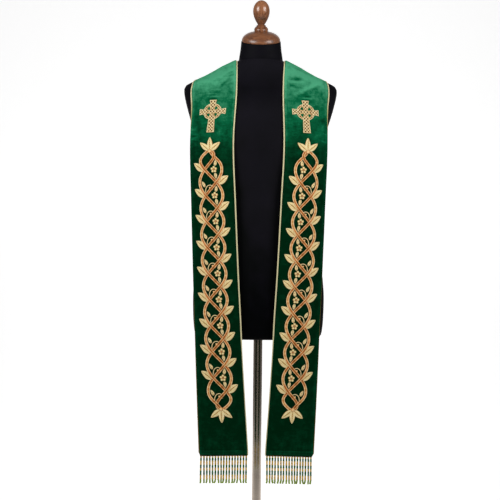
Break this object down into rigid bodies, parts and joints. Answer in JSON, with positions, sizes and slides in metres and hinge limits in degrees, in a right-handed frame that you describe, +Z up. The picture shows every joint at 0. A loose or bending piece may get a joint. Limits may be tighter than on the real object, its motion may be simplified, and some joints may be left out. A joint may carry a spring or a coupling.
{
  "type": "clerical stole on a limbless dress form with stand",
  "caption": "Long velvet clerical stole with piping, embroidered crosses and beaded fringe, hung over the shoulders of a limbless dress form on a post and round base.",
  "frame": {"origin": "floor under the middle of the post, at the centre of the base plate's underside", "axes": "+Z up along the post; +X to the right as seen from the front; the front of the form faces -Y"},
  "size_m": [0.457, 0.36, 1.6146],
  "materials": {
    "velvet": "dark green velvet with a short, slightly crushed nap",
    "gold_cord": "twisted cream and gold cord",
    "gold_embroidery": "dense tan and gold stitching",
    "bead_fringe": "glossy gold and green beads on threads",
    "black_jersey": "smooth black stretch jersey over a hard form",
    "turned_wood": "turned, stained and varnished wood",
    "steel": "satin steel"
  },
  "bodies": {
    "root": {"stole_left": "velvet", "stole_right": "velvet", "piping_inner_left": "gold_cord", "piping_inner_right": "gold_cord", "piping_outer_left": "gold_cord", "piping_outer_right": "gold_cord", "hem_cord_left": "gold_cord", "hem_cord_right": "gold_cord", "cross_left": "gold_embroidery", "cross_right": "gold_embroidery", "fringe_left": "bead_fringe", "fringe_right": "bead_fringe", "form": "black_jersey", "neck_cap": "turned_wood", "finial": "turned_wood", "post": "steel", "post_socket": "steel", "base_plate": "steel"}
  },
  "joints": []
}
